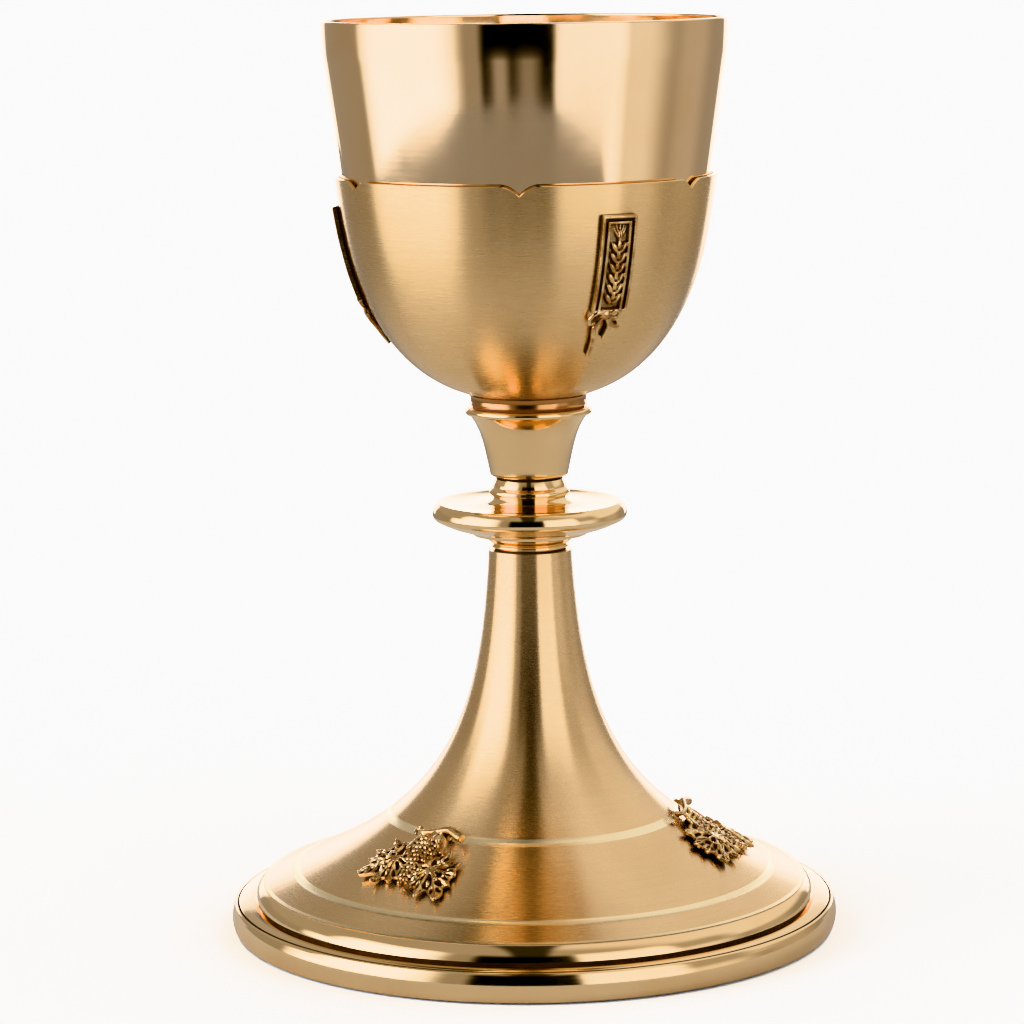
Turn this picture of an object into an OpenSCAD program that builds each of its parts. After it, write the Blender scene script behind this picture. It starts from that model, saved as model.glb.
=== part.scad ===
// Communion chalice: a drawn cup in a separate calyx with three wheat plaques, screwed
// onto a turned stem, on a spun trumpet foot with three vine castings and a stepped base.
// The origin is on the table, on the axis. +Z is up and -Y is the front. Millimetres.

/* [Base and foot] */
// Outer radius of the base ring
base_r = 67; // [65:0.5:69]
// Height of the base ring's outer moulding
ring_h = 7; // [6.5:0.1:7.5]
// Height of the polished step that carries the foot
step_h = 4.2; // [4:0.1:4.5]
// Width of the base ring's flat bright ledge
ledge_w = 4.6; // [4:0.1:5]
// Wall of the spun foot
foot_wall = 1.2; // [1:0.1:1.4]
// Height of the foot's top above the table
foot_top_z = 84.6; // [83:0.2:86]
// Radius that the foot's curve tends to at the top
foot_neck_r = 8; // [7.8:0.1:8.2]
// Height over which the foot's flare falls to a third
foot_decay = 19; // [18:0.5:20]
// Heights of the outer and inner engraved bands
band_z = [14, 26];

/* [Stem] */
// Radius of the knop
knop_r = 21.3; // [19:0.1:23]
// Height of the cavetto collar under the knop
knop_collar_h = 4; // [3.5:0.1:4.5]
// Height of the knop
knop_h = 6.3; // [6:0.1:7]
// Height of the beaded neck ring over the knop
neck_h = 6.1; // [6:0.1:6.5]
// Height of the flared stem
flare_h = 15.1; // [14.5:0.1:16]
// Radius of the flared stem's top bead
flare_top_r = 13.9; // [13:0.1:14.5]

/* [Bowl] */
// Height of the chalice
chalice_h = 200; // [199:0.5:201]
// Outer radius of the cup at its rim
rim_r = 44; // [43.5:0.1:44.5]
// Wall of the cup
cup_wall = 1; // [0.8:0.1:1.2]
// Height of the calyx rim above the table
calyx_rim_z = 166.6; // [166:0.2:167.2]
// Outer radius of the calyx at its rim
calyx_r = 41.4; // [41.2:0.1:41.6]
// Wall of the calyx
calyx_wall = 0.8; // [0.6:0.1:0.9]
// How much the bowl narrows for each millimetre down
bowl_taper = 0.14; // [0.13:0.005:0.15]
// Number of bracket notches in the calyx rim
notch_count = 6; // [3:1:9]
// Depth of a bracket notch
notch_depth = 2.1; // [1:0.1:3]

/* [Ornament] */
// Bearing of the first wheat plaque, from the front towards +X
plaque_bearing = 28; // [0:1:60]
// Width of a wheat plaque
plaque_w = 8; // [7:0.5:9]
// Height of a wheat plaque's framed field
plaque_h = 20.4; // [18:0.2:21]
// Bearing of the first vine casting, from the front towards +X
vine_bearing = 81; // [60:1:100]

/* [Fastening] */
// Radius of the M8 tie rod
rod_r = 4; // [4:0.5:4]
// Pitch of its thread
rod_pitch = 1.25; // [1.25:0.25:1.25]
// Radial play of the running fits
play = 0.05; // [0.03:0.01:0.08]

/* [Hidden] */
$fn = 96;

rod_hole_r = rod_r + 0.2;

// Heights of the stack, from the table up
foot_edge_z = ring_h + step_h;
knop_collar_z = foot_top_z;
knop_z = knop_collar_z + knop_collar_h;
neck_z = knop_z + knop_h;
flare_z = neck_z + neck_h;
washer_z = flare_z + flare_h;
washer_h = 0.4;
collar_ring_z = washer_z + washer_h;
collar_ring_h = 2.35;
calyx_bottom_z = collar_ring_z + collar_ring_h;
boss_flange_z = calyx_bottom_z + calyx_wall;
cup_bottom_z = boss_flange_z + 3.8;

// The fastening, from the table up
rod_bottom_z = 29.5;
nut_h = 6.5;
nut_flat_r = 6.5;
nut_z = rod_bottom_z + 2.5;
spring_washer_h = 2;
clamp_z = nut_z + nut_h + spring_washer_h;
clamp_t = 1.5;
lock_nut_h = 4;
socket_floor_h = 3.5;
lock_nut_z = flare_z + socket_floor_h;
boss_mouth_z = lock_nut_z + lock_nut_h + 0.4;
spigot_r = 7.95;
rod_top_z = boss_mouth_z + 8.4 * rod_pitch;

// Outer radius of the foot at height z: an exponential trumpet
foot_edge_r = base_r - ledge_w - 2.5;
foot_spread = (foot_edge_r - foot_neck_r) * exp((foot_edge_z - 14) / foot_decay);
function foot_r(z) = foot_neck_r + foot_spread * exp((14 - z) / foot_decay);
function foot_slope(z) = foot_spread / foot_decay * exp((14 - z) / foot_decay);
// A point of the foot's curve, moved out along the curve's normal
function foot_pt(z, out) = let(s = foot_slope(z), n = sqrt(1 + s * s))
    [foot_r(z) + out / n, z + out * s / n];
function foot_levels(steps) = [for (i = [0 : steps])
    foot_edge_z + (foot_top_z - foot_edge_z) * pow(i / steps, 1.7)];

// A point of a bowl's curve: a superellipse on a tapering wall; t is 0 at its rim
function bowl_drop(t, depth) = depth * pow(sin(t), 2 / 3);
function bowl_pt(t, r, depth) = let(d = bowl_drop(t, depth))
    [(r - bowl_taper * d) * pow(cos(t), 0.8), calyx_rim_z - d];
// The angle at which a bowl's curve reaches its flat bottom at height z
function bowl_end(z, depth) = asin(pow((calyx_rim_z - z) / depth, 1.5));
function bowl_curve(r, depth, bottom_z, steps) = let(t_end = bowl_end(bottom_z, depth))
    [for (i = [0 : steps]) bowl_pt(t_end * i / steps, r, depth)];

calyx_depth = 49;
cup_depth = calyx_depth - 5;
cup_r = calyx_r - calyx_wall - 0.5;
wall_top_z = chalice_h - 7;

// An arc of a profile, from angle a0 to a1 about (cx, cz)
function arc(cx, cz, r, a0, a1, steps) = [for (i = [0 : steps])
    let(a = a0 + (a1 - a0) * i / steps) [cx + r * cos(a), cz + r * sin(a)]];

module turned(points) {
    rotate_extrude() polygon(points);
}

module ring_of(outer, inner, z, h) {
    translate([0, 0, z]) difference() {
        cylinder(r = outer, h = h);
        translate([0, 0, -1]) cylinder(r = inner, h = h + 2);
    }
}

// Turns a child at the front (-Y) to a bearing, measured towards +X
module at_bearing(a) {
    rotate([0, 0, a]) children();
}

// ---------------------------------------------------------------- foot

module base_ring() {
    ovolo_r = 4.6;
    ovolo_x = foot_edge_r + 0.1 - ovolo_r * cos(55);
    ovolo_z = foot_edge_z - 0.15 - ovolo_r * sin(55);
    ledge_in = base_r - 1.4 - ledge_w;
    color("goldenrod") turned(concat(
        [[base_r - 5.5, 0], [base_r - 1.6, 0]],
        arc(base_r - 6.4, 3.6, 6.4, -26, 22, 8),
        [[base_r - 0.7, ring_h - 0.5], [base_r - 1.1, ring_h - 0.1]],
        [[base_r - 1.4, ring_h], [base_r - 2.2, ring_h - 0.15]],
        [[ledge_in, ring_h + 0.1], [ledge_in, ring_h + 0.75]],
        arc(ovolo_x, ovolo_z, ovolo_r, 8, 55, 8),
        [[foot_edge_r + 0.1, foot_edge_z]],
        [[foot_edge_r - 3.2, foot_edge_z], [foot_edge_r - 3.2, ring_h]],
        [[base_r - 8, ring_h - 1.6], [base_r - 7, 1.5]]));
}

module foot_shell() {
    levels = foot_levels(30);
    color("burlywood") difference() {
        turned(concat(
            [for (z = levels) foot_pt(z, 0)],
            [[rod_hole_r, foot_top_z], [rod_hole_r, foot_top_z - foot_wall]],
            [for (i = [30 : -1 : 0]) let(p = foot_pt(levels[i], -foot_wall))
                [p[0], min(max(p[1], foot_edge_z), foot_top_z - foot_wall)]]));
        for (z = band_z) {
            c = foot_pt(z, 1.2);
            rotate_extrude() translate(c) circle(r = 1.5, $fn = 32);
        }
    }
}

// The outline of a vine casting, flat on its tangent plane: x across, y up the foot.
// A leaf on each side, the bunch of grapes between them and the cut branch on top.
module vine_outline() {
    translate([-6.6, 0.4]) circle(r = 6.3);
    translate([-9.4, -3.2]) circle(r = 3.6);
    translate([6, 0]) circle(r = 5.4);
    translate([8.8, -5]) circle(r = 3.8);
    translate([0.2, 4]) circle(r = 4.6);
    translate([0.4, -2.5]) circle(r = 3.6);
    translate([-5.6, 9.2]) rotate([0, 0, -2]) square([13, 2]);
    translate([-0.6, 6]) square([2, 5]);
}

// A band that stands on the foot, from one height over its surface to another
module foot_band(from, out) {
    levels = [for (i = [0 : 11]) foot_edge_z + 2 + 22 * pow(i / 11, 1.3)];
    turned(concat([for (z = levels) foot_pt(z, from)],
                  [for (i = [11 : -1 : 0]) foot_pt(levels[i], out)]));
}

module vine_applique(a) {
    lean = atan(foot_slope(20));
    seat = foot_pt(20, 0);
    color("gold") at_bearing(a) {
        intersection() {
            foot_band(0.03, 1.1);
            translate([0, -seat[0], seat[1]]) rotate([90 - lean, 0, 0])
                translate([0, 0, -6]) linear_extrude(12) vine_outline();
        }
        // The bunch of grapes, in rows that narrow down the foot
        intersection() {
            foot_band(0.4, 4);
            translate([0, -seat[0], seat[1]]) rotate([90 - lean, 0, 0])
                for (row = [0 : 3], k = [0 : 3 - row])
                    translate([(k - (3 - row) / 2) * 2.3, 3.2 - row * 2.1, 0.6])
                        sphere(r = 1.35, $fn = 32);
        }
    }
}

module vine_applique_1() { vine_applique(vine_bearing); }
module vine_applique_2() { vine_applique(vine_bearing + 120); }
module vine_applique_3() { vine_applique(vine_bearing + 240); }

// ---------------------------------------------------------------- stem

module knop_collar() {
    z = knop_collar_z;
    top = z + knop_collar_h;
    color("gold") turned(concat(
        [[rod_hole_r, z], [7.9, z], [7.9, z + 0.4]],
        arc(8, z + 0.85, 0.45, -70, 70, 4),
        [[8.1, z + 1.35]],
        arc(12.9, z - 2.9, 6.3, 137, 93, 6),
        [[12.8, top], [rod_hole_r, top]]));
}

module knop() {
    z = knop_z;
    top = z + knop_h;
    color("gold") turned(concat(
        [[rod_hole_r, z], [12.8, z], [knop_r - 7.4, z + 0.5], [knop_r - 1.7, z + 2.4]],
        arc(knop_r - 1.6, z + 4, 1.6, -60, 0, 5),
        arc(knop_r - 3.4, z + 3.9, 3.4, 8, 42, 5),
        arc(knop_r - 1.7, z + 5.4, 1.1, 42, 95, 4),
        [[14, z + 6.1], [11, top], [rod_hole_r, top]]));
}

module neck_ring() {
    z = neck_z;
    top = z + neck_h;
    color("gold") turned([
        [rod_hole_r, z], [10.4, z], [9.2, z + 0.15], [8.2, z + 0.45], [7.7, z + 0.9],
        [7.8, z + 1.3], [8.5, z + 1.7], [8.85, z + 2.2], [8.9, z + 2.6], [8.6, z + 3.1],
        [8, z + 3.5], [7.9, z + 4], [7.6, z + 4.7], [7.4, z + 5.4], [7.3, z + 5.5],
        [7.3, top], [rod_hole_r, top]]);
}

module stem_flare() {
    z = flare_z;
    top = z + flare_h;
    foot_of_flare_r = 8.5;
    cone_h = flare_h - 1.8;
    socket_r = spigot_r + play;
    color("gold") difference() {
        turned(concat(
            [[0, z], [foot_of_flare_r - 0.1, z], [foot_of_flare_r, z + 0.15]],
            [for (i = [1 : 16]) let(u = i / 16)
                [foot_of_flare_r + 2.7 * u + (flare_top_r - 12.2) * pow(u, 4.6),
                 z + 0.15 + cone_h * u]],
            arc(flare_top_r - 0.85, top - 0.95, 0.85, -60, 70, 6),
            [[flare_top_r - 0.8, top], [0, top]]));
        translate([0, 0, z - 1]) cylinder(r = rod_hole_r, h = socket_floor_h + 2);
        translate([0, 0, z + socket_floor_h]) cylinder(r = socket_r, h = flare_h);
    }
}

// ---------------------------------------------------------------- fastening

module hex_nut(z, h) {
    color("darkkhaki") translate([0, 0, z]) difference() {
        cylinder(r = nut_flat_r / cos(30), h = h, $fn = 6);
        translate([0, 0, -1]) cylinder(r = rod_r, h = h + 2);
    }
}

module tie_rod() {
    color("darkgoldenrod") turned([
        [0, rod_bottom_z], [rod_r - 0.6, rod_bottom_z], [rod_r, rod_bottom_z + 0.6],
        [rod_r, rod_top_z - 0.6], [rod_r - 0.6, rod_top_z], [0, rod_top_z]]);
}

module lock_nut() { hex_nut(lock_nut_z, lock_nut_h); }
module foot_nut() { hex_nut(nut_z, nut_h); }

// Dished plate that bears on the inside of the foot's trumpet
module clamp_plate() {
    rim_z = clamp_z + 3.2;
    rim_plate_r = foot_pt(rim_z + clamp_t + 0.5, -foot_wall)[0] - play;
    color("darkgoldenrod") turned([
        [rod_hole_r, clamp_z], [9, clamp_z], [rim_plate_r, rim_z - 0.6],
        [rim_plate_r, rim_z + clamp_t], [rim_plate_r - 1, rim_z + clamp_t],
        [8.6, clamp_z + clamp_t], [rod_hole_r, clamp_z + clamp_t]]);
}

// Split spring washer
module spring_washer() {
    color("gray") difference() {
        ring_of(7.1, rod_hole_r, clamp_z - spring_washer_h, spring_washer_h);
        translate([5.5, 0, clamp_z - spring_washer_h / 2]) rotate([30, 0, 0])
            cube([5, 0.8, 2 * spring_washer_h + 2], center = true);
    }
}

// Thin fibre washer that the bowl is screwed down on
module seat_washer() {
    color("saddlebrown") ring_of(12.3, spigot_r + 0.35, washer_z, washer_h);
}

// ---------------------------------------------------------------- bowl

// Threaded boss brazed under the cup, with a pilot that drops into the stem
module cup_boss() {
    color("darkgoldenrod") difference() {
        turned([
            [0, boss_mouth_z], [spigot_r - 0.5, boss_mouth_z], [spigot_r, boss_mouth_z + 0.5],
            [spigot_r, boss_flange_z], [10.5, boss_flange_z], [10.5, boss_flange_z + 2.4],
            [9.2, cup_bottom_z], [0, cup_bottom_z]]);
        translate([0, 0, boss_mouth_z - 1])
            cylinder(r = rod_r + play, h = rod_top_z - boss_mouth_z + 1.8);
    }
}

module collar_ring() {
    z = collar_ring_z;
    top = z + collar_ring_h;
    top_h = collar_ring_h;
    color("gold") turned(concat(
        [[spigot_r, z], [12.7, z], [12.9, z + 0.15]],
        arc(14.9, z + top_h / 2, 2.3, 205, 155, 6),
        [[12.9, top - 0.15], [12.7, top], [spigot_r, top]]));
}

// The outline that one bracket notch takes from the rim, drawn about its tip: two
// hollow curves that meet in a point, and that run out just over the rim
module notch_outline() {
    half_w = 4.7;
    run_out = 0.06;
    polygon(concat(
        [for (i = [-6 : 6]) let(x = half_w * i / 6)
            [x, run_out - (notch_depth + run_out) * pow(1 - abs(x) / half_w, 2)]],
        [[half_w, 3], [-half_w, 3]]));
}

module calyx() {
    outer = bowl_curve(calyx_r, calyx_depth, calyx_bottom_z, 24);
    inner = bowl_curve(calyx_r - calyx_wall, calyx_depth - calyx_wall,
                       calyx_bottom_z + calyx_wall, 24);
    notch_bearing = plaque_bearing - 180 / notch_count;
    color("burlywood") difference() {
        turned(concat(outer, [[spigot_r, calyx_bottom_z], [spigot_r, calyx_bottom_z + calyx_wall]],
                      [for (i = [24 : -1 : 0]) inner[i]]));
        for (i = [0 : notch_count - 1]) at_bearing(notch_bearing + i * 360 / notch_count)
            translate([0, -calyx_r + 4, calyx_rim_z]) rotate([90, 0, 0])
                linear_extrude(8) notch_outline();
    }
}

// A band that stands on the calyx, from the wall out to a height of out
module calyx_band(from, out) {
    lo = 42;
    near = bowl_curve(calyx_r, calyx_depth, calyx_bottom_z, lo);
    color("gold") turned(concat(
        [for (i = [1 : 26]) near[i] + [from, 0]],
        [for (i = [26 : -1 : 1]) near[i] + [out, 0]]));
}

module wheat_plaque(a) {
    top_z = 160.4;
    frame_w = 1.5;
    field_z = top_z - plaque_h + frame_w;
    color("gold") at_bearing(a) {
        // Framed plate with a sunk field
        difference() {
            intersection() {
                calyx_band(0, 1.6);
                translate([-plaque_w / 2, -60, top_z - plaque_h]) cube([plaque_w, 40, plaque_h]);
            }
            intersection() {
                calyx_band(0.8, 3);
                translate([-plaque_w / 2 + frame_w, -60, field_z])
                    cube([plaque_w - 2 * frame_w, 40, plaque_h - 2 * frame_w]);
            }
        }
        // Ribbon knot and its two tails
        intersection() {
            calyx_band(0, 1.2);
            translate([0, -20, top_z - plaque_h]) rotate([90, 0, 0]) linear_extrude(40) {
                translate([0, -0.8]) circle(r = 2);
                rotate([0, 0, -14]) translate([-2.4, -9.6]) square([1.7, 9]);
                rotate([0, 0, 16]) translate([0.7, -7]) square([1.7, 6.6]);
            }
        }
    }
}

module wheat_plaque_1() { wheat_plaque(plaque_bearing); }
module wheat_plaque_2() { wheat_plaque(plaque_bearing + 120); }
module wheat_plaque_3() { wheat_plaque(plaque_bearing + 240); }

module cup() {
    wall_r = cup_r + bowl_taper * (wall_top_z - calyx_rim_z);
    outer = bowl_curve(cup_r, cup_depth, cup_bottom_z, 22);
    inner = bowl_curve(cup_r - cup_wall, cup_depth - cup_wall, cup_bottom_z + cup_wall, 22);
    color("gold") turned(concat(
        [[0, cup_bottom_z]],
        [for (i = [22 : -1 : 0]) outer[i]],
        [[wall_r, wall_top_z], [rim_r - 0.05, chalice_h - 3], [rim_r, chalice_h - 0.3]],
        [[rim_r - 0.3, chalice_h], [rim_r - cup_wall + 0.2, chalice_h]],
        [[rim_r - cup_wall, chalice_h - 0.3], [rim_r - cup_wall - 0.05, chalice_h - 3]],
        [[wall_r - cup_wall, wall_top_z]],
        inner,
        [[0, cup_bottom_z + cup_wall]]));
}

base_ring();
foot_shell();
vine_applique_1();
vine_applique_2();
vine_applique_3();
knop_collar();
knop();
neck_ring();
stem_flare();
tie_rod();
lock_nut();
clamp_plate();
spring_washer();
foot_nut();
seat_washer();
cup_boss();
collar_ring();
calyx();
wheat_plaque_1();
wheat_plaque_2();
wheat_plaque_3();
cup();
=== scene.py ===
"""A communion chalice: the detailed pieces, the finishes and the studio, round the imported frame.

Lengths in the shape code are millimetres; MM turns them into Blender's metres when a mesh is made.
"""
import math

import bmesh
import bpy
import numpy as np
from mathutils import Euler, Matrix, Vector, noise


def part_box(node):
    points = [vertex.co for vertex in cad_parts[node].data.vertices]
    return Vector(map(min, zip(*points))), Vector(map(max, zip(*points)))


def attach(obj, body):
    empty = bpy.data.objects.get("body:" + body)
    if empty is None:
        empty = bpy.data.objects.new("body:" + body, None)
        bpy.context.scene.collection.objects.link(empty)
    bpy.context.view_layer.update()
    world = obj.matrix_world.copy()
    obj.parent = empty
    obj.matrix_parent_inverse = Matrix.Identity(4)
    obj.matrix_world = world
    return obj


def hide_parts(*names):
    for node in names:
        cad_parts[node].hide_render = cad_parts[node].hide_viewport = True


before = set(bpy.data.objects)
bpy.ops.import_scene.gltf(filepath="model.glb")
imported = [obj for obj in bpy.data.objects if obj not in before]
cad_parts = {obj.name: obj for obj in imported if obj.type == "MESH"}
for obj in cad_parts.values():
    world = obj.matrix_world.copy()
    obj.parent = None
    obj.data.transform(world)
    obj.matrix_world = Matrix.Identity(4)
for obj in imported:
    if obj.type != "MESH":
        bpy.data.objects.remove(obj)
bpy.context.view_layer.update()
MM = 0.001
TAU = 2 * math.pi


# ------------------------------------------------------------ sizes from the frame

def low_z(node):
    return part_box(node)[0][2] / MM


def high_z(node):
    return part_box(node)[1][2] / MM


def stand(node):
    """The height at which a node starts, and how tall it is."""
    return low_z(node), high_z(node) - low_z(node)


def reach(node):
    """The outer radius of a turned node."""
    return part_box(node)[1][0] / MM


BASE_R = reach("base_ring")
FOOT_EDGE_R = reach("foot_shell")
FOOT_EDGE_Z = low_z("foot_shell")
FOOT_TOP_Z = high_z("foot_shell")
RIM_Z = high_z("cup")
RIM_R = reach("cup")
CALYX_R = reach("calyx")
CALYX_RIM_Z = high_z("calyx")
CALYX_BOTTOM_Z = low_z("calyx")
CUP_BOTTOM_Z = low_z("cup")
ROD_R = reach("tie_rod")
ROD_HOLE_R = ROD_R + 0.2

FOOT_NECK_R = 8
FOOT_START_Z = 14
FOOT_DECAY = 19
FOOT_WALL = 1.2
BAND_Z = (14, 26)
CALYX_DEPTH = 49
CALYX_WALL = 0.8
CUP_R = CALYX_R - CALYX_WALL - 0.5
CUP_DEPTH = CALYX_DEPTH - 5
CUP_WALL = 1
SPIGOT_R = 7.95
BOWL_TAPER = 0.14
NOTCH_DEPTH = 2.1
NOTCH_HALF_W = 4.4
PLAQUE_BEARING = 28
PLAQUE_TOP_Z = 160.4
VINE_BEARING = 81
VINE_SEAT_Z = 20
THREAD_PITCH = 1.25


# ------------------------------------------------------------ curves of the foot and the bowl

FOOT_SPREAD = (FOOT_EDGE_R - FOOT_NECK_R) * math.exp((FOOT_EDGE_Z - FOOT_START_Z) / FOOT_DECAY)


def foot_r(z):
    return FOOT_NECK_R + FOOT_SPREAD * math.exp((FOOT_START_Z - z) / FOOT_DECAY)


def foot_point(z, out=0.0):
    """A point of the foot's curve as (radius, height), moved out along the normal."""
    slope = FOOT_SPREAD / FOOT_DECAY * math.exp((FOOT_START_Z - z) / FOOT_DECAY)
    n = math.hypot(1, slope)
    return foot_r(z) + out / n, z + out * slope / n


def bowl_point(t, r, depth):
    """A point of a bowl's curve; t runs from 0 at the calyx rim to pi/2 on the axis."""
    drop = depth * math.sin(t) ** (2 / 3)
    return (r - BOWL_TAPER * drop) * math.cos(t) ** 0.8, CALYX_RIM_Z - drop


def bowl_end(z, depth):
    """The t at which a bowl's curve comes down to height z."""
    return math.asin(((CALYX_RIM_Z - z) / depth) ** 1.5)


def bowl_curve(r, depth, bottom_z, steps):
    """A bowl's curve from its rim down to its flat bottom, with more points near the rim."""
    end = bowl_end(bottom_z, depth)
    return [bowl_point(end * (i / steps) ** 1.5, r, depth) for i in range(steps + 1)]


def calyx_r(z):
    drop = CALYX_RIM_Z - z
    return (CALYX_R - BOWL_TAPER * drop) * (1 - (drop / CALYX_DEPTH) ** 3) ** 0.4


# ------------------------------------------------------------ outlines

def arc(cr, cz, r, a0, a1, steps=12):
    """Points of an arc from angle a0 to a1, in degrees."""
    turn = [math.radians(a0 + (a1 - a0) * i / steps) for i in range(steps + 1)]
    return [(cr + r * math.cos(a), cz + r * math.sin(a)) for a in turn]


def filleted(corners, steps=6):
    """Rounds the corners of a closed outline: each corner is (radius, height, fillet)."""
    points = []
    n = len(corners)
    for i, (x, z, fillet) in enumerate(corners):
        here = Vector((x, z))
        before = Vector(corners[i - 1][:2]) - here
        after = Vector(corners[(i + 1) % n][:2]) - here
        cut = min(fillet, 0.49 * before.length, 0.49 * after.length)
        if cut < 0.005:
            points.append((x, z))
            continue
        a = here + before.normalized() * cut
        b = here + after.normalized() * cut
        for k in range(steps + 1):
            u = k / steps
            p = a * (1 - u) ** 2 + here * 2 * u * (1 - u) + b * u * u
            points.append((p.x, p.y))
    return points


def raised(corners, z):
    """An outline moved up by z."""
    return [(c[0], c[1] + z, *c[2:]) for c in corners]


# ------------------------------------------------------------ meshes

def finish_mesh(name, verts, faces, marks=None, sharp=35):
    """An object from millimetre points, smooth apart from edges sharper than sharp degrees."""
    mesh = bpy.data.meshes.new(name)
    mesh.from_pydata([(x * MM, y * MM, z * MM) for x, y, z in verts], [], faces)
    if marks:
        mesh.polygons.foreach_set("material_index", marks)
    mesh.validate()
    mesh.shade_smooth()
    mesh.set_sharp_from_angle(angle=math.radians(sharp))
    obj = bpy.data.objects.new(name, mesh)
    bpy.context.scene.collection.objects.link(obj)
    return obj


def lathe(name, outline, segments=256, mark=None):
    """Turns a closed outline of (radius, height) points, anticlockwise, about the axis.

    mark(r, z) gives the material index of the face strip whose middle is there.
    """
    verts, rings = [], []
    for r, z in outline:
        if r < 1e-6:
            rings.append([len(verts)])
            verts.append((0, 0, z))
            continue
        rings.append(list(range(len(verts), len(verts) + segments)))
        for k in range(segments):
            a = TAU * k / segments
            verts.append((r * math.cos(a), r * math.sin(a), z))
    faces, marks = [], []
    for i, ring in enumerate(rings):
        j = (i + 1) % len(rings)
        other = rings[j]
        if len(ring) == 1 and len(other) == 1:
            continue
        index = 0
        if mark:
            index = mark((outline[i][0] + outline[j][0]) / 2, (outline[i][1] + outline[j][1]) / 2)
        for k in range(segments):
            m = (k + 1) % segments
            if len(ring) == 1:
                face = (ring[0], other[m], other[k])
            elif len(other) == 1:
                face = (ring[k], ring[m], other[0])
            else:
                face = (ring[k], ring[m], other[m], other[k])
            faces.append(face)
            marks.append(index)
    return finish_mesh(name, verts, faces, marks)


def stands_for(obj, body, node, slot, *materials):
    """Gives a piece its finish, its body, and the CAD node that it replaces."""
    for m in materials:
        obj.data.materials.append(m)
    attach(obj, body)
    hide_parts(node)


# ------------------------------------------------------------ node graphs

class Graph:
    """A short way to write a node tree."""

    def __init__(self, tree):
        self.tree = tree
        tree.nodes.clear()

    def node(self, kind, inputs=None, **props):
        made = self.tree.nodes.new(kind)
        for key, value in props.items():
            setattr(made, key, value)
        for key, value in (inputs or {}).items():
            self.put(made.inputs[key], value)
        return made

    def put(self, socket, value):
        if isinstance(value, bpy.types.NodeSocket):
            self.tree.links.new(value, socket)
        else:
            socket.default_value = value

    def math(self, operation, *values):
        return self.node("ShaderNodeMath", dict(enumerate(values)), operation=operation).outputs[0]

    def ramp(self, value, low, high, to_low=0.0, to_high=1.0):
        """A smooth step from to_low to to_high while value goes from low to high."""
        made = self.node("ShaderNodeMapRange", {0: value, 1: low, 2: high, 3: to_low, 4: to_high},
                         interpolation_type="SMOOTHSTEP")
        return made.outputs[0]

    def mix(self, factor, a, b):
        made = self.node("ShaderNodeMix", {0: factor, 6: a, 7: b}, data_type="RGBA")
        return made.outputs[2]

    def noise(self, vector, scale, detail=2.0, rough=0.5):
        made = self.node("ShaderNodeTexNoise", {"Vector": vector, "Scale": scale,
                                                "Detail": detail, "Roughness": rough})
        return made.outputs[0]


def rgb(r, g, b):
    return (r, g, b, 1.0)


def new_material(name):
    material = bpy.data.materials.new(name)
    material.use_nodes = True
    return material, Graph(material.node_tree)


def finish_material(graph, color, roughness, normal=None, **fixed):
    """The shader and output of a metal or plain material."""
    shader = graph.node("ShaderNodeBsdfPrincipled", {"Base Color": color, "Roughness": roughness})
    for key, value in fixed.items():
        graph.put(shader.inputs[key.replace("_", " ")], value)
    if normal:
        graph.put(shader.inputs["Normal"], normal)
    graph.node("ShaderNodeOutputMaterial", {"Surface": shader.outputs[0]})


def turning_lines(graph, place, across, around):
    """Noise drawn out round the axis, as a lathe or a polishing mop leaves it."""
    parts = graph.node("ShaderNodeSeparateXYZ", {0: place}).outputs
    radius = graph.math("SQRT", graph.math("ADD", graph.math("MULTIPLY", parts[0], parts[0]),
                                           graph.math("MULTIPLY", parts[1], parts[1])))
    angle = graph.math("ARCTAN2", parts[1], parts[0])
    # The angle's jump from 180 to -180 degrees would leave a seam at the back.
    seam_free = graph.math("ABSOLUTE", angle)
    vector = graph.node("ShaderNodeCombineXYZ", {
        0: graph.math("MULTIPLY", radius, across), 1: graph.math("MULTIPLY", parts[2], across),
        2: graph.math("MULTIPLY", seam_free, around)}).outputs[0]
    return graph.noise(vector, 1.0, 3.0, 0.6)


def polished(name, pale, deep, rough=0.05):
    """Mirror-polished gold plate: faint mop lines, a little smearing and slight waviness."""
    material, g = new_material(name)
    place = g.node("ShaderNodeTexCoord").outputs["Object"]
    clouds = g.noise(place, 45.0, 3.0)
    lines = turning_lines(g, place, 2600.0, 2.0)
    color = g.mix(g.ramp(clouds, 0.35, 0.7), rgb(*pale), rgb(*deep))
    roughness = g.math("ADD", rough, g.math("MULTIPLY", g.ramp(clouds, 0.4, 0.75), 0.05))
    roughness = g.math("ADD", roughness, g.math("MULTIPLY", lines, 0.03))
    waves = g.math("MULTIPLY", g.noise(place, 120.0, 1.0), 0.02)
    height = g.math("ADD", waves, g.math("MULTIPLY", lines, 0.002))
    bump = g.node("ShaderNodeBump", {"Strength": 0.25, "Distance": 0.001, "Height": height})
    finish_material(g, color, roughness, bump.outputs[0], Metallic=1.0)
    return material


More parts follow.
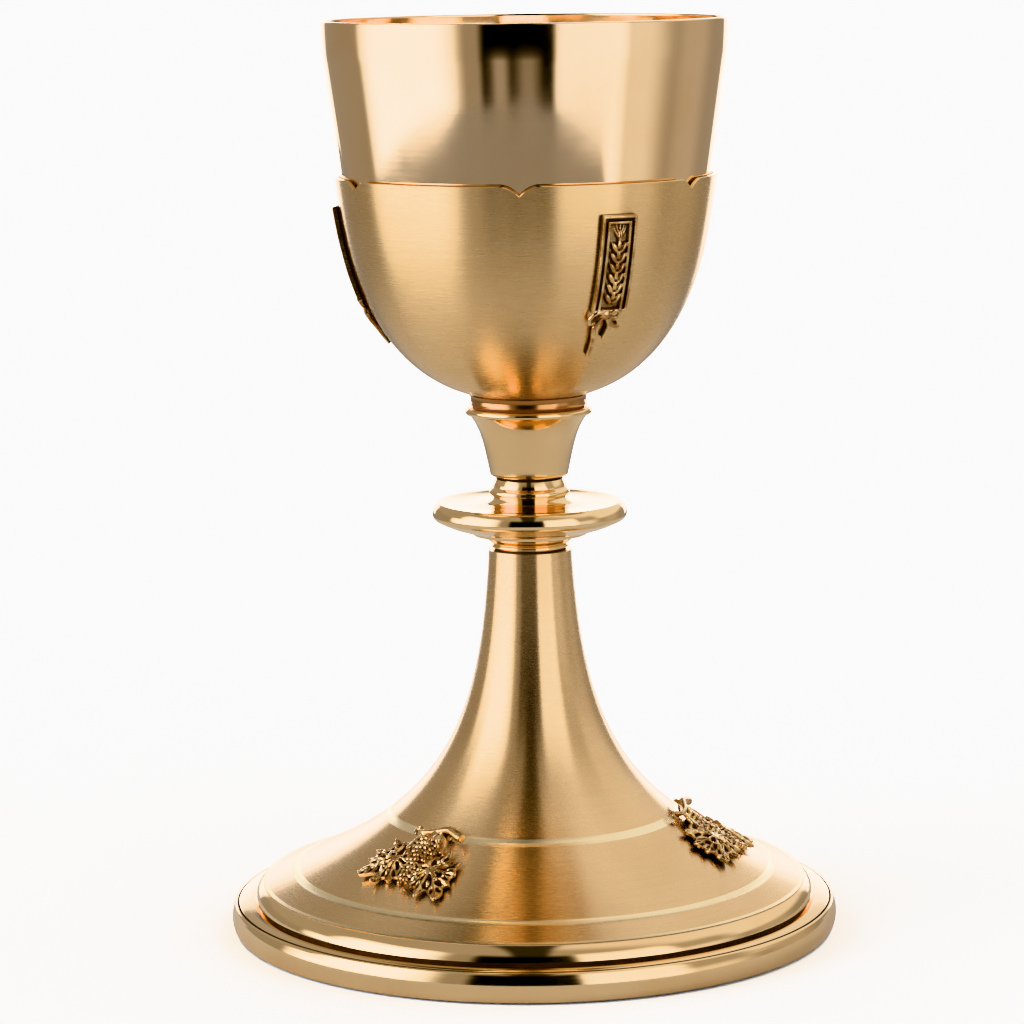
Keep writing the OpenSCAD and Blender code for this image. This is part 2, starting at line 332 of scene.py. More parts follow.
def satin(name, pale, deep, rough=0.26):
    """Satin gold plate, brushed round the axis."""
    material, g = new_material(name)
    place = g.node("ShaderNodeTexCoord").outputs["Object"]
    fine = turning_lines(g, place, 5200.0, 9.0)
    coarse = turning_lines(g, place, 900.0, 2.0)
    clouds = g.noise(place, 60.0, 4.0)
    tone = g.math("ADD", g.math("MULTIPLY", coarse, 0.3), g.math("MULTIPLY", clouds, 0.7))
    color = g.mix(g.ramp(tone, 0.35, 0.68), rgb(*pale), rgb(*deep))
    roughness = g.math("ADD", rough, g.math("MULTIPLY", g.math("SUBTRACT", fine, 0.5), 0.12))
    bump = g.node("ShaderNodeBump", {"Strength": 0.2, "Distance": 0.00004, "Height": fine})
    tangent = g.node("ShaderNodeTangent", direction_type="RADIAL", axis="Z").outputs[0]
    finish_material(g, color, roughness, bump.outputs[0], Metallic=1.0, Anisotropic=0.95,
                    Anisotropic_Rotation=0.25, Tangent=tangent)
    return material


def cast(name, pale, deep, painted_shade_color):
    """Bright plate on cast relief; the recess attribute paints shade into its hollows and low parts."""
    material, g = new_material(name)
    place = g.node("ShaderNodeTexCoord").outputs["Object"]
    recess = g.node("ShaderNodeAttribute", attribute_name="recess").outputs["Fac"]
    grain = g.noise(place, 2400.0, 3.0)
    clouds = g.noise(place, 300.0, 2.0)
    color = g.mix(g.ramp(clouds, 0.35, 0.65), rgb(*pale), rgb(*deep))
    # Painted shade: hollows, and the parts low over the seat, blend to near-black.
    color = g.mix(g.ramp(recess, 0.03, 0.30), color, rgb(*painted_shade_color))
    roughness = g.math("ADD", 0.13, g.math("MULTIPLY", recess, 0.3))
    roughness = g.math("ADD", roughness, g.math("MULTIPLY", grain, 0.08))
    bump = g.node("ShaderNodeBump", {"Strength": 0.5, "Distance": 0.00012, "Height": grain})
    finish_material(g, color, roughness, bump.outputs[0], Metallic=1.0)
    return material


def plain_metal(name, pale, deep, rough):
    """Unplated turned metal with tool lines and dull patches."""
    material, g = new_material(name)
    place = g.node("ShaderNodeTexCoord").outputs["Object"]
    lines = turning_lines(g, place, 1800.0, 1.0)
    clouds = g.noise(place, 140.0, 4.0)
    color = g.mix(g.ramp(clouds, 0.35, 0.7), rgb(*pale), rgb(*deep))
    roughness = g.math("ADD", rough, g.math("MULTIPLY", clouds, 0.2))
    bump = g.node("ShaderNodeBump", {"Strength": 0.5, "Distance": 0.0001, "Height": lines})
    finish_material(g, color, roughness, bump.outputs[0], Metallic=1.0)
    return material


def fibre(name):
    """Red-brown vulcanised fibre with a faint felted grain."""
    material, g = new_material(name)
    place = g.node("ShaderNodeTexCoord").outputs["Object"]
    grain = g.noise(place, 1500.0, 5.0, 0.7)
    color = g.mix(grain, rgb(0.16, 0.06, 0.03), rgb(0.34, 0.15, 0.08))
    bump = g.node("ShaderNodeBump", {"Strength": 0.6, "Distance": 0.0001, "Height": grain})
    finish_material(g, color, g.math("ADD", 0.6, g.math("MULTIPLY", grain, 0.2)), bump.outputs[0])
    return material


BRIGHT_CUT = polished("bright_cut", (1.0, 0.86, 0.60), (0.97, 0.80, 0.52), rough=0.26)
POLISHED = polished("polished_gold", (0.95, 0.71, 0.43), (0.91, 0.65, 0.37))
# A darker copy of the polished gold, painted with the shade of the collar that lies under the bowl.
SHADED_COLLAR_GOLD = polished("collar_gold_shaded", (0.60, 0.33, 0.15), (0.46, 0.23, 0.10), rough=0.12)
# Near-black metal for painted shade: the dark lines in the base ring's grooves, in the gap under its
# edge, and at the joints of the knop collar and the neck ring.
PAINTED_SHADE_METAL = plain_metal("painted_shade_metal", (0.06, 0.03, 0.014), (0.03, 0.015, 0.008), 0.5)
CUP_GOLD = polished("cup_gold", (0.94, 0.71, 0.47), (0.91, 0.66, 0.41), rough=0.045)
SATIN = satin("satin_gold", (0.84, 0.60, 0.35), (0.79, 0.55, 0.31))
CALYX_SATIN = satin("calyx_satin", (0.86, 0.60, 0.33), (0.82, 0.56, 0.29))
# The last colour is the painted shade of the relief's hollows.
CAST = cast("cast_gold", (0.88, 0.64, 0.35), (0.46, 0.26, 0.12), (0.03, 0.010, 0.004))
BRASS = plain_metal("plain_brass", (0.74, 0.55, 0.27), (0.58, 0.40, 0.18), 0.28)
THREADED = plain_metal("threaded_brass", (0.70, 0.53, 0.27), (0.50, 0.35, 0.16), 0.33)
STEEL = plain_metal("spring_steel", (0.34, 0.34, 0.36), (0.20, 0.20, 0.22), 0.35)
FIBRE = fibre("fibre")


# ------------------------------------------------------------ foot

def base_moulding():
    """The stepped base ring: a bold outer moulding, a flat ledge and an ovolo step."""
    ledge_in = BASE_R - 6.0
    ovolo_r = 4.6
    ovolo_x = FOOT_EDGE_R + 0.1 - ovolo_r * math.cos(math.radians(55))
    ovolo_z = FOOT_EDGE_Z - 0.15 - ovolo_r * math.sin(math.radians(55))
    outline = [(BASE_R - 5.5, 0), (BASE_R - 3.0, 0), (BASE_R - 2.8, 0.5)]
    outline += arc(BASE_R - 1.2, 0.95, 0.5, -90, -30, 5)
    outline += arc(BASE_R - 6.4, 3.6, 6.4, -19, 24, 16)
    outline += arc(BASE_R - 1.15, 6.35, 0.55, 35, 90, 6)
    outline += [(BASE_R - 1.3, 6.6), (BASE_R - 1.55, 6.55), (BASE_R - 1.65, 6.95)]
    outline += [(BASE_R - 1.8, 7.05), (ledge_in + 0.1, 7.1), (ledge_in, 7.2), (ledge_in, 7.75)]
    outline += arc(ovolo_x, ovolo_z, ovolo_r, 8, 55, 16)
    outline += [(FOOT_EDGE_R + 0.1, FOOT_EDGE_Z)]
    outline += [(FOOT_EDGE_R - 3.2, FOOT_EDGE_Z), (FOOT_EDGE_R - 3.2, 7)]
    outline += arc(BASE_R - 6.6, 3.4, 2.4, 150, 200, 6)

    # Index 1 is painted shade: the gap under the moulding's edge and the two groove lines turn dark.
    def mark(r, z):
        if r > BASE_R - 3 and z < 0.6:
            return 1
        if BASE_R - 1.72 < r < BASE_R - 1.25 and 6.5 < z < 7.0:
            return 1
        return 1 if ledge_in - 0.1 < r < ledge_in + 0.08 and 7.12 < z < 7.7 else 0
    return lathe("base_moulding", outline, segments=360, mark=mark)


def foot_outline():
    """The foot's outline: engraved grooves on the outside, a plain spun inside."""
    groove_half, groove_r, groove_centre = 0.9, 3.0, 2.85
    outline = [(FOOT_EDGE_R - 0.25, FOOT_EDGE_Z - 0.02), (FOOT_EDGE_R, FOOT_EDGE_Z + 0.12)]
    bands = []
    for band_z in BAND_Z:
        r, z = foot_point(band_z)
        nr, nz = (a - b for a, b in zip(foot_point(band_z, 1), (r, z)))
        points = []
        for i in range(-8, 9):
            along = groove_half * i / 8
            depth = math.sqrt(groove_r ** 2 - along ** 2) - groove_centre
            points.append((r - along * nz - depth * nr, z + along * nr - depth * nz))
        bands.append(points)
    first_z, steps = FOOT_EDGE_Z + 0.3, 150
    for i in range(steps + 1):
        z = first_z + (FOOT_TOP_Z - first_z) * (i / steps) ** 1.6
        while bands and z > bands[0][0][1]:
            outline += bands.pop(0)
        if z > outline[-1][1] + 0.02:
            outline.append(foot_point(z))
    outline += [(ROD_HOLE_R, FOOT_TOP_Z), (ROD_HOLE_R, FOOT_TOP_Z - FOOT_WALL)]
    for i in range(80, -1, -1):
        z = FOOT_EDGE_Z + (FOOT_TOP_Z - FOOT_EDGE_Z) * (i / 80) ** 1.6
        inside = foot_point(z, -FOOT_WALL)
        if FOOT_EDGE_Z < inside[1] < FOOT_TOP_Z - FOOT_WALL:
            outline.append(inside)
    outline.append((foot_point(FOOT_EDGE_Z, -FOOT_WALL)[0], FOOT_EDGE_Z))
    return outline


def foot_shell():
    """The spun foot; its grooves and its edge are cut bright."""
    def mark(r, z):
        for band_z in BAND_Z:
            if abs(r - foot_r(band_z)) < 0.82 and foot_r(z) - 0.7 < r < foot_r(z) + 0.4:
                return 1
        return 1 if r > FOOT_EDGE_R - 0.9 else 0
    return lathe("foot_skin", foot_outline(), segments=360, mark=mark)


# ------------------------------------------------------------ stem

def knop_collar():
    z, h = stand("knop_collar")
    outline = [(ROD_HOLE_R, 0), (7.9, 0), (7.9, 0.4)]
    outline += arc(8, 0.85, 0.45, -70, 70, 8)
    outline += [(8.1, 1.35)] + arc(12.9, -2.9, 6.3, 137, 93, 16)
    outline += [(12.8, h), (ROD_HOLE_R, h)]
    # The lowest 0.42 mm gets painted shade, a dark line where the collar meets the foot.
    return lathe("knop_collar_turned", raised(outline, z),
                 mark=lambda r, at: 1 if at < z + 0.42 else 0)


def knop():
    """The lens-shaped knop, with a groove and a crest on its rim."""
    z, top = low_z("knop"), low_z("neck_ring") - low_z("knop")
    r = reach("knop")
    outline = [(ROD_HOLE_R, 0), (12.8, 0)]
    under = [Vector((12.9, 0.05)), Vector((r - 5, 0.6)),
             Vector((r - 2.6, 1.7)), Vector((r - 0.85, 2.6))]
    outline += [tuple(bezier(under, i / 10)) for i in range(11)]
    outline += arc(r - 1.6, 4, 1.6, -55, 0, 8)
    outline += arc(r - 3.4, 3.9, 3.4, 8, 42, 10)
    outline += arc(r - 1.7, 5.42, 1.1, 45, 95, 8)
    over = [Vector((r - 1.9, 6.51)), Vector((r - 4.5, 6.3)),
            Vector((14, 5.95)), Vector((10.6, top))]
    outline += [tuple(bezier(over, i / 12)) for i in range(1, 13)]
    outline += [(ROD_HOLE_R, top)]
    return lathe("knop_turned", raised(outline, z))


def bezier(p, t):
    """The point at t, from 0 to 1, of the cubic curve with control points p."""
    return (p[0] * (1 - t) ** 3 + p[1] * 3 * t * (1 - t) ** 2
            + p[2] * 3 * t * t * (1 - t) + p[3] * t ** 3)


def neck_ring():
    z, top = stand("neck_ring")
    outline = [(ROD_HOLE_R, 0), (10.3, 0)] + arc(10.2, 2.5, 2.48, 268, 208, 12)
    outline += arc(7.95, 2.45, 0.92, -65, 60, 14)
    outline += [(7.98, 3.6), (7.92, 4.0), (7.7, 4.5), (7.5, 5.0), (7.35, 5.3), (6.9, 5.4)]
    outline += [(6.9, 5.75), (7.6, 5.9), (7.7, top), (ROD_HOLE_R, top)]
    # The part above 5.3 mm gets painted shade, a dark line where the neck ring meets the stem flare.
    return lathe("neck_ring_turned", raised(outline, z),
                 mark=lambda r, at: 1 if at > z + 5.3 else 0)


def stem_flare():
    """The flare that carries the bowl: a cone that opens to a bead, with a socket in its top."""
    z, top = stand("stem_flare")
    bead_r = reach("stem_flare")
    start_r, cone_h = 8.5, top - 2.0
    outline = [(ROD_HOLE_R, 0), (start_r - 0.25, 0), (start_r, 0.25)]
    for i in range(1, 41):
        u = i / 40
        outline.append((start_r + 2.7 * u + (bead_r - 12.2) * u ** 4.6, 0.25 + cone_h * u))
    outline += arc(bead_r - 0.9, top - 0.9, 0.9, -60, 85, 16)
    outline += [(bead_r - 1.1, top), (8.4, top), (8, top - 0.4), (8, 3.5), (ROD_HOLE_R, 3.5)]
    return lathe("stem_flare_turned", raised(outline, z))


# ------------------------------------------------------------ fastening

def thread_surface(z0, z1, crest, depth, segments=40):
    """Rings of a helical thread between two heights, as (points, faces), open at both ends."""
    rows_per_pitch = 6
    rows = int((z1 - z0) / THREAD_PITCH * rows_per_pitch)
    verts = []
    for i in range(rows + 1):
        for k in range(segments):
            a = TAU * k / segments
            z = z0 + (z1 - z0) * i / rows
            phase = (z / THREAD_PITCH - a / TAU) % 1.0
            flank = abs(2 * phase - 1)
            r = crest - depth * min(max((flank - 0.12) / 0.76, 0), 1)
            verts.append((r * math.cos(a), r * math.sin(a), z))
    faces = []
    for i in range(rows):
        for k in range(segments):
            m = (k + 1) % segments
            here, above = i * segments, (i + 1) * segments
            faces.append((here + k, here + m, above + m, above + k))
    return verts, faces


def tie_rod():
    """The threaded rod, with turned points at both ends."""
    low, high, r = low_z("tie_rod"), high_z("tie_rod"), ROD_R
    segments, point = 40, 0.6
    verts, faces = thread_surface(low + point, high - point, r, 0.65, segments)
    for base, z, flip in ((0, low, True), (len(verts) - segments, high, False)):
        first = len(verts)
        for k in range(segments):
            a = TAU * k / segments
            verts.append(((r - 0.9) * math.cos(a), (r - 0.9) * math.sin(a), z))
        verts.append((0, 0, z))
        for k in range(segments):
            m = (k + 1) % segments
            side = (base + k, base + m, first + m, first + k)
            cap = (first + k, first + m, len(verts) - 1)
            faces += [side[::-1], cap[::-1]] if flip else [side, cap]
    return finish_mesh("tie_rod_threaded", verts, faces, sharp=50)


def closed_rings(name, rings, sharp):
    """A mesh round rings of equal length, where the last ring joins the first."""
    verts = [p for ring in rings for p in ring]
    n = len(rings[0])
    faces = []
    for i in range(len(rings)):
        here, there = i * n, (i + 1) % len(rings) * n
        for k in range(n):
            m = (k + 1) % n
            faces.append((here + k, here + m, there + m, there + k))
    return finish_mesh(name, verts, faces, sharp=sharp)


def hex_nut(name, node):
    """A hexagon nut, chamfered on both faces, with a countersunk bore."""
    z0, z1 = low_z(node), high_z(node)
    flat_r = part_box(node)[1][1] / MM
    face_r = flat_r * 0.96
    angles = [TAU * k / 96 for k in range(96)]
    sixth = TAU / 6

    def circle(r, z):
        return [(r * math.cos(a), r * math.sin(a), z) for a in angles]

    def edge(z, side):
        """The hexagon, whose corners fall away from the face by a 30 degree chamfer."""
        ring = []
        for a in angles:
            r = flat_r / math.cos(a % sixth - sixth / 2)
            fall = (r - face_r) * math.tan(math.radians(30))
            ring.append((r * math.cos(a), r * math.sin(a), z + side * fall))
        return ring

    bore_r, sink_r = ROD_R - 0.02, ROD_R + 0.5
    return closed_rings(name, [
        circle(bore_r, z0 + 0.5), circle(sink_r, z0), circle(face_r, z0), edge(z0, 1),
        edge(z1, -1), circle(face_r, z1), circle(sink_r, z1), circle(bore_r, z1 - 0.5)], sharp=20)


def clamp_plate():
    """The dished plate inside the foot."""
    z, top = stand("clamp_plate")
    rim = reach("clamp_plate")
    corners = [(ROD_HOLE_R, 0, 0.2), (9, 0, 1.5), (rim, top - 2.1, 0.3), (rim, top, 0.2),
               (rim - 1, top, 0.2), (8.6, 1.5, 1.5), (ROD_HOLE_R, 1.5, 0.2)]
    return lathe("clamp_plate_dished", raised(filleted(corners), z), segments=160)


def spring_washer():
    """One turn of square spring wire, split, with its two ends sprung apart."""
    z0, z1 = low_z("spring_washer"), high_z("spring_washer")
    inner, outer = ROD_HOLE_R, reach("spring_washer")
    thick = (z1 - z0) * 0.8
    gap, steps = math.radians(8), 90
    corners = [(inner, 0), (outer - 0.15, 0), (outer, 0.15), (outer, thick - 0.15),
               (outer - 0.15, thick), (inner, thick)]
    verts, faces = [], []
    for i in range(steps + 1):
        u = i / steps
        a = gap / 2 + (TAU - gap) * u
        lift = (z1 - z0 - thick) * u
        verts += [(r * math.cos(a), r * math.sin(a), z0 + lift + h) for r, h in corners]
    n = len(corners)
    for i in range(steps):
        for k in range(n):
            m = (k + 1) % n
            faces.append(((i + 1) * n + m, (i + 1) * n + k, i * n + k, i * n + m))
    faces.append(tuple(range(n)))
    faces.append(tuple(range(steps * n + n - 1, steps * n - 1, -1)))
    return finish_mesh("spring_washer_split", verts, faces)


def seat_washer():
    z0, z1, r = low_z("seat_washer"), high_z("seat_washer"), reach("seat_washer")
    corners = [(8.3, z0, 0.1), (r, z0, 0.12), (r, z1, 0.12), (8.3, z1, 0.1)]
    return lathe("seat_washer_fibre", filleted(corners, 4), segments=160)


# ------------------------------------------------------------ bowl

def cup_boss():
    """The boss under the cup, with its blind bore."""
    z0, z1, r = low_z("cup_boss"), high_z("cup_boss"), reach("cup_boss")
    flange_z = CALYX_BOTTOM_Z + CALYX_WALL
    bore = ROD_R + 0.05
    bore_top = high_z("tie_rod") + 0.8
    corners = [(0, bore_top, 0), (bore, bore_top, 0), (bore, z0 + 0.6, 0.1), (bore + 0.6, z0, 0.1),
               (7.45, z0, 0.1), (SPIGOT_R, z0 + 0.5, 0.1), (SPIGOT_R, flange_z, 0), (r, flange_z, 0.2),
               (r, flange_z + 2.4, 0.4), (9.2, z1, 0.2), (0, z1, 0)]
    return lathe("cup_boss_turned", filleted(corners), segments=160)


def collar_ring():
    z, top = stand("collar_ring")
    outline = [(SPIGOT_R, 0), (12.7, 0), (12.88, 0.1)] + arc(14.9, top / 2, 2.3, 205, 155, 12)
    outline += [(12.88, top - 0.1), (12.7, top), (SPIGOT_R, top)]
    return lathe("collar_ring_turned", raised(outline, z))


def notch_drop(bearing):
    """How far the calyx rim drops at a bearing, in degrees from the front towards +X."""
    off = (bearing - PLAQUE_BEARING + 30 + 30) % 60 - 30
    x = abs(math.radians(off)) * CALYX_R
    if x >= NOTCH_HALF_W:
        return 0.0
    return NOTCH_DEPTH * (1 - x / NOTCH_HALF_W) ** 2


def calyx():
    """The calyx, whose rim dips to six bracket notches."""
    columns, steps, wall = 720, 64, CALYX_WALL
    inner_r, inner_depth = CALYX_R - wall, CALYX_DEPTH - wall
    end_out = bowl_end(CALYX_BOTTOM_Z, CALYX_DEPTH)
    end_in = bowl_end(CALYX_BOTTOM_Z + wall, inner_depth)
    lip = 0.12
    verts = []
    for k in range(columns):
        bearing = 360.0 * k / columns
        top_z = CALYX_RIM_Z - notch_drop(bearing)
        t_out = bowl_end(top_z - lip, CALYX_DEPTH)
        t_in = bowl_end(top_z - lip, inner_depth)
        line = [(SPIGOT_R, CALYX_BOTTOM_Z)]
        for i in range(steps, -1, -1):
            t = t_out + (end_out - t_out) * (i / steps) ** 1.4
            line.append(bowl_point(t, CALYX_R, CALYX_DEPTH))
        r_out, r_in = line[-1][0], bowl_point(t_in, inner_r, inner_depth)[0]
        line.append((r_out - lip, top_z))
        line.append((r_in + lip, top_z))
        for i in range(steps + 1):
            t = t_in + (end_in - t_in) * (i / steps) ** 1.4
            line.append(bowl_point(t, inner_r, inner_depth))
        line.append((SPIGOT_R, CALYX_BOTTOM_Z + wall))
        a = math.radians(bearing - 90)
        verts += [(r * math.cos(a), r * math.sin(a), z) for r, z in line]
    n = len(line)
    faces, marks = [], []
    for k in range(columns):
        here, there = k * n, (k + 1) % columns * n
        for i in range(n):
            j = (i + 1) % n
            faces.append((here + i, there + i, there + j, here + j))
            marks.append(1 if steps + 1 <= i <= steps + 3 else 0)
    return finish_mesh("calyx_spun", verts, faces, marks)


def cup():
    """The cup: a spun bowl with a straight wall and a rounded rim."""
    wall_top_z = RIM_Z - 7
    wall_r = CUP_R + BOWL_TAPER * (wall_top_z - CALYX_RIM_Z)
    outer = bowl_curve(CUP_R, CUP_DEPTH, CUP_BOTTOM_Z, 60)
    inner = bowl_curve(CUP_R - CUP_WALL, CUP_DEPTH - CUP_WALL, CUP_BOTTOM_Z + CUP_WALL, 60)
    wall_foot, wall_top = Vector((CUP_R, CALYX_RIM_Z)), Vector((wall_r, wall_top_z))
    flare = [wall_top.lerp(wall_foot, 0.04), wall_top,
             Vector((RIM_R, RIM_Z - 3)), Vector((RIM_R, RIM_Z - 0.5))]
    up = [tuple(wall_foot.lerp(wall_top, i / 12)) for i in range(1, 12)]
    up += [tuple(bezier(flare, i / 12)) for i in range(13)]
    outline = [(0, CUP_BOTTOM_Z)] + outer[::-1] + up
    outline += arc(RIM_R - 0.35, RIM_Z - 0.35, 0.35, 0, 90, 6)
    outline += arc(RIM_R - 0.65, RIM_Z - 0.35, 0.35, 90, 180, 6)
    outline += [(r - CUP_WALL, z) for r, z in reversed(up)]
    outline += inner + [(0, CUP_BOTTOM_Z + CUP_WALL)]
    return lathe("cup_spun", outline, segments=360)


# ------------------------------------------------------------ castings

def tube(bm, path, radii, sides=12, flat=1.0):
    """A round or flattened rod through a path of (x, y, height), closed at both ends."""
    points = [Vector(p) for p in path]
    rings = []
    for i, p in enumerate(points):
        along = points[min(i + 1, len(points) - 1)] - points[max(i - 1, 0)]
        side = along.cross(Vector((0, 0, 1))).normalized()
        up = side.cross(along).normalized()
        radius = radii[i] if isinstance(radii, (list, tuple)) else radii
        ring = []
        for k in range(sides):
            a = TAU * k / sides
            ring.append(bm.verts.new(p + side * radius * math.cos(a) + up * radius * flat * math.sin(a)))
        rings.append(ring)
    for one, two in zip(rings, rings[1:]):
        for k in range(sides):
            m = (k + 1) % sides
            bm.faces.new((one[k], one[m], two[m], two[k]))
    bm.faces.new(rings[0][::-1])
    bm.faces.new(rings[-1])


def smooth_path(points, steps=6):
    """A Catmull-Rom curve through points."""
    p = [Vector(q) for q in points]
    p = [p[0] * 2 - p[1]] + p + [p[-1] * 2 - p[-2]]
    made = []
    for a, b, c, d in zip(p, p[1:], p[2:], p[3:]):
        for i in range(steps):
            t = i / steps
            made.append(0.5 * (2 * b + (c - a) * t + (2 * a - 5 * b + 4 * c - d) * t * t
                               + (3 * b - a - 3 * c + d) * t ** 3))
    return made + [p[-2]]


def blob(bm, centre, size, turn=0.0, sides=16):
    """An ellipsoid of half sizes size, turned in the plane by turn degrees."""
    place = Matrix.Translation(centre) @ Matrix.Rotation(math.radians(turn), 4, "Z")
    bmesh.ops.create_uvsphere(bm, u_segments=sides, v_segments=sides // 2 + 2, radius=1.0,
                              matrix=place @ Matrix.Diagonal((*size, 1)))


def sheet_solid(bm, top, bottom, rings, spokes):
    """A closed solid between two polar grids of points."""
    layers = []
    for source in (top, bottom):
        middle = bm.verts.new(source(0, 0))
        grid = [[bm.verts.new(source(i / rings, TAU * k / spokes)) for k in range(spokes)]
                for i in range(1, rings + 1)]
        layers.append((middle, grid))
    for (middle, grid), up in zip(layers, (True, False)):
        for k in range(spokes):
            m = (k + 1) % spokes
            faces = [(middle, grid[0][k], grid[0][m])]
            faces += [(a[k], b[k], b[m], a[m]) for a, b in zip(grid, grid[1:])]
            for f in faces:
                bm.faces.new(f if up else f[::-1])
    upper, lower = layers[0][1][-1], layers[1][1][-1]
    for k in range(spokes):
        m = (k + 1) % spokes
        bm.faces.new((upper[k], lower[k], lower[m], upper[m]))


def vine_leaf(bm, heart, web, lobes, height, hollow=None):
    """A lobed vine leaf about its heart: web is its radius between the lobes.

    A lobe is (bearing from +x in degrees, length), and hollow a dent as (x, y, radius).
    """
    axes = [(math.radians(a), length) for a, length in lobes]

    def edge(a):
        r = web
        for lobe, length in axes:
            off = abs((a - lobe + math.pi) % TAU - math.pi)
            r = max(r, length * math.exp(-((off / 0.42) ** 1.7)))
        teeth = abs(((a * 26 / TAU) % 1.0) - 0.5) * 2
        return r * (0.95 + 0.06 * teeth)

    def relief(x, y, rho):
        h = height - 0.5 * rho ** 2
        for lobe, length in axes:
            along = x * math.cos(lobe) + y * math.sin(lobe)
            across = abs(-x * math.sin(lobe) + y * math.cos(lobe))
            if 0 < along < length:
                fade = 1 - along / length
                h += (0.4 * fade + 0.4) * math.exp(-((across / 0.32) ** 2))
                ribs = math.cos((along - across * 1.1) * 2.5)
                h += 0.5 * ribs * (1 - rho ** 4) * math.exp(-((across - 0.9) ** 2) / 0.5)
        h += 0.3 * rho ** 8 + 0.6 * (1 - rho ** 4) * noise.noise(Vector((x, y, height)) * 0.7)
        if hollow:
            h -= 1.3 * math.exp(-(((x - hollow[0]) ** 2 + (y - hollow[1]) ** 2) / hollow[2] ** 2))
        return min(h, 2.5)

    def top(rho, a):
        r = edge(a) * rho
        x, y = r * math.cos(a), r * math.sin(a)
        return heart[0] + x, heart[1] + y, relief(x, y, rho)

    def bottom(rho, a):
        x, y, h = top(rho, a)
        return x, y, max(h - 0.75 - 1.6 * (1 - rho), -0.4)

    sheet_solid(bm, top, bottom, 22, 156)


def vine_casting_mesh():
    """The vine casting, flat: leaves either side of a bunch of grapes under a cut branch."""
    bm = bmesh.new()
    left_lobes = ((217, 10.8), (194, 9.0), (174, 8.6), (133, 7.6), (250, 8.2), (285, 7.2),
                  (71, 6.5), (-31, 5.8))
    right_lobes = ((85, 7.1), (40, 6.2), (5, 5.8), (-28, 7.2), (-52, 10.2), (-84, 8.0),
                   (-118, 7.4), (-150, 6.4), (141, 5.4))
    vine_leaf(bm, (-4.6, 0.8), 5.8, left_lobes, 1.7)
    vine_leaf(bm, (5.6, -0.8), 5.2, right_lobes, 1.7, hollow=(0.7, 2.5, 0.75))
    counts = (4, 5, 6, 5, 5, 5, 4, 4, 3, 3, 2, 1)
    for row, count in enumerate(counts):
        y = 8.0 - row * 1.22
        for k in range(count):
            jitter = noise.noise(Vector((row * 1.7, k * 2.3, 0.5))) * 0.4
            off = k - (count - 1) / 2
            x = off * 1.22 - 0.35 + 0.11 * row + jitter
            size = 0.7 + 0.1 * noise.noise(Vector((row * 2.1, k * 1.3, 4.5)))
            blob(bm, (x, y + jitter, 2.15 - 0.3 * abs(off) - 0.05 * row), (size, size, size), 0, 14)
    core = [(-0.3, 8.2, 0.8), (-0.2, 5, 1.0), (0.1, 0, 0.9), (0.8, -5, 0.6)]
    tube(bm, smooth_path(core), 1.6, 12, 0.6)
    tube(bm, smooth_path([(-0.2, 7, 1.8), (0.2, 9, 2.1), (0.7, 10.1, 2.2)]), 0.6)
    branch = smooth_path([(-5.0, 10.9, 1.3), (-4.0, 9.7, 1.8), (-2.0, 9.6, 2.0), (0.7, 10.3, 2.1),
                          (3.4, 10.9, 2.2), (7.4, 9.0, 2.4)])
    thick = [0.5 + 0.5 * i / (len(branch) - 1) for i in range(len(branch))]
    tube(bm, branch, thick, 14)
    curl = [(-5.0, 10.9, 1.3), (-6.1, 10.6, 1.1), (-6.2, 9.6, 1.0), (-5.4, 9.3, 1.1)]
    tube(bm, smooth_path(curl), 0.42)
    tube(bm, smooth_path([(1.4, 10.4, 2.0), (2.4, 12.0, 1.6), (3.6, 12.2, 1.2)]), 0.45)
    tube(bm, smooth_path([(3, 9.6, 0.4), (3.2, 10.4, 1.2), (3.6, 10.9, 2.0)]), 0.8)
    tube(bm, smooth_path([(-2.4, 9.3, 1.7), (-3.6, 7.2, 1.7), (-4.4, 4.4, 1.7)]), 0.5)
    tube(bm, smooth_path([(1.8, 9.9, 1.9), (3.8, 7.8, 1.8), (4.6, 4.6, 1.7)]), 0.5)
    return fused(bm, 0.16)


def fused(bm, voxel):
    """One closed skin round everything in bm, as a casting has, as (points, faces)."""
    bmesh.ops.recalc_face_normals(bm, faces=bm.faces)
    mesh = bpy.data.meshes.new("loose")
    bm.to_mesh(mesh)
    bm.free()
    obj = bpy.data.objects.new("loose", mesh)
    bpy.context.scene.collection.objects.link(obj)
    remesh = obj.modifiers.new("skin", "REMESH")
    remesh.mode = "VOXEL"
    remesh.voxel_size = voxel
    smooth = obj.modifiers.new("soften", "SMOOTH")
    smooth.factor = 0.5
    smooth.iterations = 3
    depsgraph = bpy.context.evaluated_depsgraph_get()
    skin = obj.evaluated_get(depsgraph).to_mesh()
    points = [tuple(v.co) for v in skin.vertices]
    faces = [tuple(p.vertices) for p in skin.polygons]
    obj.evaluated_get(depsgraph).to_mesh_clear()
    bpy.data.objects.remove(obj)
    bpy.data.meshes.remove(mesh)
    return points, faces


